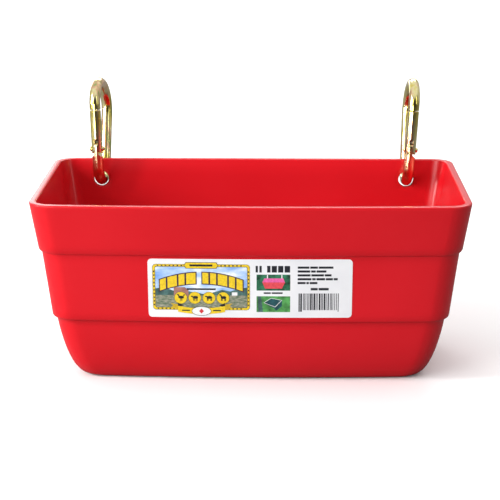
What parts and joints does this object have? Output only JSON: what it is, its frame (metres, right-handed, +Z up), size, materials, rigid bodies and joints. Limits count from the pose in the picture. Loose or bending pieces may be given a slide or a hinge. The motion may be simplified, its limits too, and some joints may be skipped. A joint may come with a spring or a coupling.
{
  "type": "trough feeder",
  "caption": "Open rectangular stepped feeding trough with a bowed front and a printed label, hung from its back wall by sprung snap-hook clips through round holes.",
  "frame": {"origin": "centre of the flat underside of the trough, halfway along its length and midway between the front and back walls at the ends", "axes": "+X along the trough to the viewer's right, -Y towards the labelled front wall, +Y towards the back wall with the clips, +Z up"},
  "size_m": [0.2898, 0.1894, 0.1835],
  "materials": {
    "red_plastic": "glossy moulded polyethylene, opaque red",
    "label_stock": "satin printed film label",
    "yellow_zinc_steel": "bright yellow-passivated zinc plating on round steel wire",
    "spring_steel": "plain bright spring steel"
  },
  "bodies": {
    "trough": {"trough_body": "red_plastic", "front_label": "label_stock"},
    "left_clip": {"left_hook": "yellow_zinc_steel", "left_gate_rivet": "yellow_zinc_steel"},
    "left_gate": {"left_gate": "yellow_zinc_steel", "left_gate_spring": "spring_steel"},
    "left_plunger": {"left_gate_plunger": "spring_steel"},
    "right_clip": {"right_hook": "yellow_zinc_steel", "right_gate_rivet": "yellow_zinc_steel"},
    "right_gate": {"right_gate": "yellow_zinc_steel", "right_gate_spring": "spring_steel"},
    "right_plunger": {"right_gate_plunger": "spring_steel"}
  },
  "joints": [
    {"name": "left_clip_swing", "type": "hinge", "parent": "trough", "child": "left_clip", "pos_m": [-0.111, 0.076, 0.1098], "axis": [0, 1, 0], "range_deg": [-38, 45]},
    {"name": "left_gate_open", "type": "hinge", "parent": "left_clip", "child": "left_gate", "pos_m": [-0.11358, 0.06699, 0.13395], "axis": [-0.987, 0.153, -0.0483], "range_deg": [0, 28], "stiffness_Nm_per_rad": 0.12, "springref_deg": -22.92},
    {"name": "left_plunger_slide", "type": "slide", "parent": "left_gate", "child": "left_plunger", "axis": [-0.039, 0.0628, 0.9973], "range_m": [0, 0.001], "deforming": ["left_gate_spring"]},
    {"name": "right_clip_swing", "type": "hinge", "parent": "trough", "child": "right_clip", "pos_m": [0.1118, 0.076, 0.1098], "axis": [0, 1, 0], "range_deg": [-45, 38]},
    {"name": "right_gate_open", "type": "hinge", "parent": "right_clip", "child": "right_gate", "pos_m": [0.11395, 0.0669, 0.13396], "axis": [-0.9963, -0.0506, 0.0697], "range_deg": [0, 28], "stiffness_Nm_per_rad": 0.12, "springref_deg": -22.92},
    {"name": "right_plunger_slide", "type": "slide", "parent": "right_gate", "child": "right_plunger", "axis": [0.0664, 0.0634, 0.9958], "range_m": [0, 0.001], "deforming": ["right_gate_spring"]}
  ],
  "couplings": [
    {"joint": "left_plunger_slide", "follows": "left_gate_open", "m_per_rad": 0.00184},
    {"joint": "right_plunger_slide", "follows": "right_gate_open", "m_per_rad": 0.00184}
  ]
}
